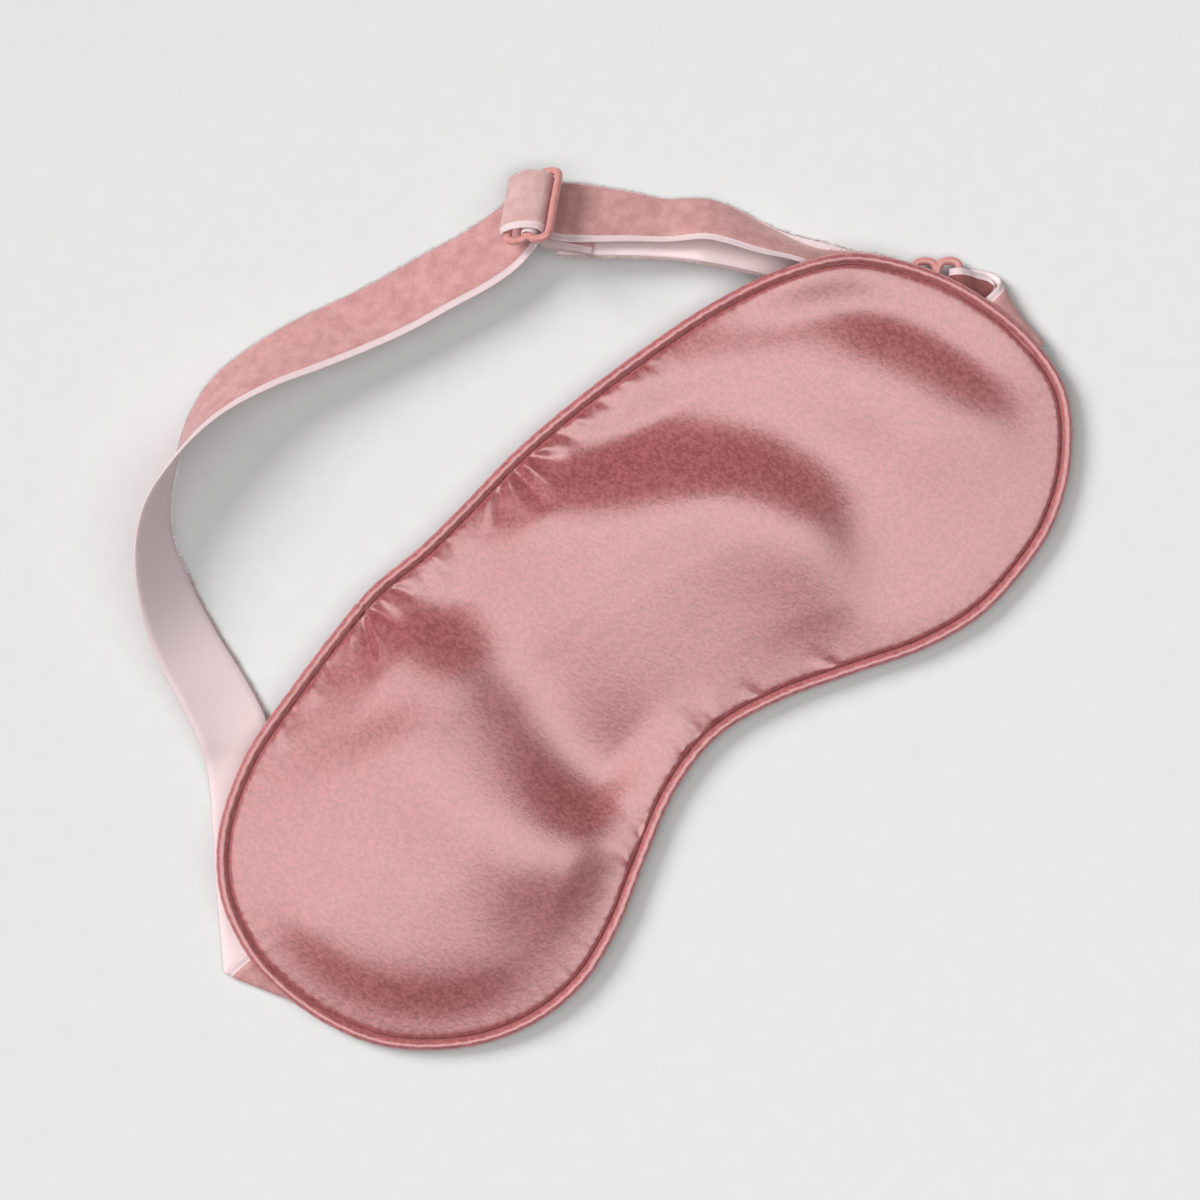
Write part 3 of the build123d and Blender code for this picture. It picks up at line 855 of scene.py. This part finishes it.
# The band turns round the connector's bar and comes back under itself to the slider.
BAR_1 = np.array((95.98, 14.27, 2.15))
LINK_ALONG = np.array((0.751, -0.660, 0))
LINK_ACROSS = np.array((-0.660, -0.751, 0))
eye = []
for turn in np.linspace(90, -90, 14):
    a = np.radians(turn)
    eye.append(BAR_1 + 2.1 * np.cos(a) * LINK_ALONG + 1.62 * np.sin(a) * np.array((0, 0, 1)))
eye = np.array(eye)
RETURN = [
    (95.6, 14.6, 0.53, 180, 0, 14.8), (92.9, 19.5, LOW, 180, 0, 14), (89.6, 25.5, 0.8, 180, 0, 13),
    (85.6, 33.5, 0.85, 178, 0, 11.5), (80.6, 42.0, 1.6, 171, 0, 10.5), (76, 49.7, 2.5, 163, 0, 12),
    (71.2, 56.4, 3.2, 155, 0, 13.6), (*on_run(32, -2.7, 0.0), 152, 0, 11.2),
    (*on_run(24, -2.8, 0.9), 150, 0, 11.6), (*on_run(15, -2.9, 1.7), 150, 0, 13.2),
    (*on_run(7, -2.9, 2.6), 150, 0, 14.2),
]
centre, width_dir, curl, width = station_path(RETURN, 240)
# The stations run from the connector back to the slider, so left and right change over.
level = width_dir * (-1, -1, 1)
return_centre = np.vstack([eye[:-1], centre])
return_width = np.vstack([np.tile(LINK_ACROSS, (len(eye) - 1, 1)), level])
sizes = np.concatenate([np.full(len(eye) - 1, BUCKLE_BAND_W), width])
rows, section = band_rows(return_centre, return_width, sizes)
band_return = band_object("headband_return", rows, section)
finish_piece(band_return, "right_half", nodes=("strap_return",))
return_fuzz = fringe("headband_return_fuzz", rows[len(eye):], 16, 1.3, seed=6, edges=(0, 1),
                     under=RUN_NORMAL)
finish_piece(return_fuzz, "right_half")
for piece in (band_return, return_fuzz):
    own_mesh(piece)

# ---- slider, and the band that is sewn round it ------------------------------------------
SLIDER_SHIFT = 1.4 * RUN_ALONG + 2.3 * RUN_P + 0.08 * RUN_NORMAL
SLIDER_PITCH = math.radians(27)
BAR_PITCH = 4.95
HALF_LENGTH = 9.0
SLIDER_LEVEL = 1.5


def slider_point(u, v, w=0.0):
    """Point near the slider, which rests on its left bar with the right one raised.

    u runs along the slider, v up from it and w towards the selvedge side."""
    along, up = u + BAR_PITCH, v - SLIDER_LEVEL
    u = along * math.cos(SLIDER_PITCH) - up * math.sin(SLIDER_PITCH) - BAR_PITCH
    v = along * math.sin(SLIDER_PITCH) + up * math.cos(SLIDER_PITCH) + SLIDER_LEVEL
    return RUN_START + SLIDER_SHIFT + u * RUN_ALONG + v * RUN_NORMAL + w * RUN_P


def link_point(u, v, w=0.0):
    """Point near the connecting buckle, in the same terms."""
    middle = BAR_1 + BAR_PITCH * LINK_ALONG
    return middle + u * LINK_ALONG + v * np.array((0, 0, 1)) - w * LINK_ACROSS


def apply_modifiers(obj):
    deps = bpy.context.evaluated_depsgraph_get()
    done = bpy.data.meshes.new_from_object(obj.evaluated_get(deps))
    obj.modifiers.clear()
    obj.data = done


def buckle(name, place, level):
    """Figure-of-eight buckle: two rounded lobes of moulded wire that share a centre bar."""
    bm = bmesh.new()
    for side in (-1, 1):
        out = BAR_PITCH
        end = HALF_LENGTH
        # Half of one lobe as (u, w), from the middle of the shared bar round to the outer one.
        ring = [(0.15, 0), (0.15, end - 2.2), (0.5, end - 0.9), (1.4, end - 0.1), (out - 1.5, end),
                (out - 0.4, end - 0.5), (out, end - 1.6), (out, 0)]
        ring = ring + [(u, -w) for u, w in reversed(ring[1:-1])]
        flat = smooth_curve([(side * u, w) for u, w in ring], 150, closed=True)
        path = np.array([place(u, level, w) for u, w in flat])
        loop = tube("wire", path, BUCKLE_WIRE_R, 14, uv=False)
        bm.from_mesh(loop.data)
        bpy.data.objects.remove(loop)
    mesh = bpy.data.meshes.new(name)
    bm.to_mesh(mesh)
    bm.free()
    obj = add_object(name, mesh)
    remesh = obj.modifiers.new("one_moulding", "REMESH")
    remesh.mode = "VOXEL"
    remesh.voxel_size = 0.00017
    soften = obj.modifiers.new("soften", "SMOOTH")
    soften.iterations = 6
    soften.factor = 0.6
    apply_modifiers(obj)
    obj.data.polygons.foreach_set("use_smooth", [True] * len(obj.data.polygons))
    obj.data.materials.append(PLASTIC)
    return obj


slider = buckle("slider_buckle", slider_point, SLIDER_LEVEL)
finish_piece(slider, "slider", nodes=("slider",))
connector = buckle("connector_buckle", link_point, 0.0)
finish_piece(connector, "connector", nodes=("connector",))


def profile_band(name, profile, count, place, w_shift, width, pile_side, thick=STRAP_T, pile=None):
    """Band across the slider, following a profile of (u, v) points that place puts in space."""
    path = smooth_curve(profile, count)
    centre = np.array([place(u, v, w_shift) for u, v in path])
    rows, section = band_rows(centre, np.tile(RUN_P, (count, 1)), width, thick, None, pile_side)
    return band_object(name, rows, section, pile), rows


HUMP = [(2.2, -3.0), (2.75, -0.8), (3.15, 0.8), (3.2, 1.8), (2.7, 2.8), (1.3, 3.6), (-0.8, 3.95),
        (-3.2, 3.75), (-5.2, 3.1), (-6.3, 2.3), (-6.65, 1.6)]
# The hump takes the paler velvet, whose lighter colour is partly painted sheen.
hump, hump_rows = profile_band("band_over_slider", HUMP, 80, slider_point, -0.1, 15.2, -1,
                               pile=VELVET_STRETCHED_AND_SHEEN)
finish_piece(hump, "slider", nodes=("strap_hump",))
hump_fuzz = fringe("band_over_slider_fuzz", hump_rows[:-8], 9, 0.7, seed=7, skip=4.5)
finish_piece(hump_fuzz, "slider")

WRAP = [(-1.3, -0.9), (-1.4, 0.6), (-1.4, 1.6), (-0.95, 2.5), (0, 2.88), (0.95, 2.5), (1.4, 1.6),
        (1.4, 0), (1.3, -2.2)]
wrap, _ = profile_band("band_end_wrap", WRAP, 56, slider_point, 0.7, 14.4, -1, 0.6)
finish_piece(wrap, "slider", nodes=("strap_tab",))

TAB = [(3.6, -1.55), (8, -1.6), (12, -1.75), (14.6, -1.8), (15.25, -2.0), (14.8, -2.25), (12, -2.3),
       (7, -2.3), (4.2, -2.3)]
tab, tab_rows = profile_band("band_end_folded", TAB, 90, on_run, 1.3, 14.6, 1, 0.5)
finish_piece(tab, "slider")
tab_fuzz = fringe("band_end_fuzz", tab_rows, 6, 0.6, seed=8, edges=(0, 1))
finish_piece(tab_fuzz, "slider")

# Bar stitches through the folded end, two short rows across the band.
STITCH_ARC = [(-0.75, -2.55), (-0.4, -2.74), (0, -2.78), (0.4, -2.74), (0.75, -2.55)]
bm = bmesh.new()
for u in (11.2, 13.4):
    for w in np.arange(-4.6, 7.2, 0.9):
        path = np.array([on_run(u + d, v, w + 0.5) for d, v in STITCH_ARC])
        stitch = tube("stitch", path, 0.17, 8, False, False)
        bm.from_mesh(stitch.data)
        bpy.data.objects.remove(stitch)
stitches = make_mesh("tab_bar_stitches", [(0, 0, 0)], [])
bm.to_mesh(stitches.data)
bm.free()
finish_piece(stitches, "slider", nodes=("tab_stitches",), materials=[THREAD])


# ---- short loop that ties the connector to the right tip ----------------------------------
def ruled_band(name, selvedge_side, fuzzy_side, count, pile_side=1, pile=None):
    """Band drawn between the curves of its two edges."""
    a = smooth_curve(selvedge_side, count)
    b = smooth_curve(fuzzy_side, count)
    rows, section = band_rows((a + b) / 2, a - b, np.linalg.norm(a - b, axis=1),
                              pile_side=pile_side, square=False)
    return band_object(name, rows, section, pile), rows


# Edges of the loop's two layers, on the selvedge side and (Q) on the fuzzy side.
LOOP_OUTER = [(106.9, 4.4, 4.5), (109.0, 4.5, 4.6), (111.6, 4.6, 4.3), (113.2, 5.2, 3.0),
              (113.5, 6.4, 1.6), (112.7, 8.4, 0.75), (110.6, 11.1, 0.7), (108.6, 12.9, 0.65)]
LOOP_OUTER_Q = [(107.4, -11.6, 4.2), (109.0, -11.7, 4.2), (110.4, -11.6, 3.7), (111.0, -10.9, 2.5),
                (110.4, -9.4, 1.3), (108.0, -6.2, 0.75), (103.6, -1.6, 0.7), (98.8, 2.0, 0.65)]
LOOP_INNER = [(106.9, 4.0, 3.4), (109.2, 4.2, 3.4), (111.0, 4.9, 3.1), (111.9, 6.2, 2.3),
              (111.6, 8.2, 1.9), (110.2, 10.4, 2.6), (109.2, 12.2, 3.9), (108.2, 13.4, 4.5),
              (107.0, 14.3, 3.7), (106.7, 14.6, 2.15), (107.2, 14.2, 1.0), (107.9, 13.5, 0.6)]
LOOP_INNER_Q = [(107.2, -11.0, 3.1), (108.5, -10.9, 3.0), (109.3, -10.2, 2.6), (109.0, -8.8, 2.0),
                (106.6, -5.8, 1.9), (103.2, -2.6, 2.6), (100.8, -0.2, 3.9), (98.4, 2.2, 4.5),
                (97.2, 3.1, 3.7), (96.9, 3.4, 2.15), (97.4, 3.0, 1.0), (98.1, 2.3, 0.6)]
loop_outer, outer_rows = ruled_band("short_loop_outer", LOOP_OUTER, LOOP_OUTER_Q, 120, -1)
finish_piece(loop_outer, "right_half", nodes=("short_loop",))
# The inner layer takes the dark velvet: painted shade inside the loop.
loop_inner, _ = ruled_band("short_loop_inner", LOOP_INNER, LOOP_INNER_Q, 120, pile=VELVET_PAINTED_SHADE)
finish_piece(loop_inner, "right_half")
loop_fuzz = fringe("short_loop_fuzz", outer_rows, 7, 0.7, seed=9)
finish_piece(loop_fuzz, "right_half")

# ---- studio -----------------------------------------------------------------------------------
bpy.ops.mesh.primitive_plane_add(size=4, location=(0, 0, 0))
floor = bpy.context.object
floor.name = "table"
paper, nodes, links, skin = new_material("pale_paper")
grain = add_node(nodes, "ShaderNodeTexNoise", Scale=900.0, Detail=2.0).outputs["Fac"]
paint(nodes, links, skin, grain, [(0.3, (0.68, 0.68, 0.68)), (0.7, (0.70, 0.70, 0.70))])
set_inputs(skin, Roughness=0.9, Specular_IOR_Level=0.1)
floor.data.materials.append(paper)

# A long softbox overhead, level with the camera's frame.
strip = bpy.data.lights.new("softbox", "AREA")
strip.shape = "RECTANGLE"
strip.size = 2.7
strip.size_y = 1.0
strip.energy = 17.0
softbox = add_object("softbox", strip)
softbox.location = (0.0, -0.225, 1.4)
softbox.rotation_euler = (0, 0, CAMERA_TURN)

# Daylight from a window, soft and without a glint of its own.
sun = bpy.data.lights.new("window", "SUN")
sun.energy = 2.95
sun.angle = math.radians(26)
window = add_object("window", sun)
window.rotation_euler = Vector((-0.28, 0.85, 0.66)).to_track_quat("Z", "Y").to_euler()
window.visible_glossy = False

world = bpy.data.worlds.new("studio")
bpy.context.scene.world = world
world.use_nodes = True
nodes, links = world.node_tree.nodes, world.node_tree.links
around = nodes.new("ShaderNodeTexCoord")
split = nodes.new("ShaderNodeSeparateXYZ")
sky = colour_ramp(nodes, [(0.0, (0.03, 0.03, 0.03)), (0.9, (0.105, 0.105, 0.105))])
links.new(around.outputs["Generated"], split.inputs["Vector"])
links.new(split.outputs["Z"], sky.inputs["Fac"])
links.new(sky.outputs["Color"], nodes["Background"].inputs["Color"])
bpy.context.scene.view_settings.view_transform = "Standard"

camera_data = bpy.data.cameras.new("camera")
camera_data.lens = 162
camera_data.sensor_width = 36
camera = add_object("camera", camera_data)
camera.location = (-0.0002, 0.0119, 1.2)
camera.rotation_euler = (0, 0, CAMERA_TURN)
bpy.context.scene.camera = camera
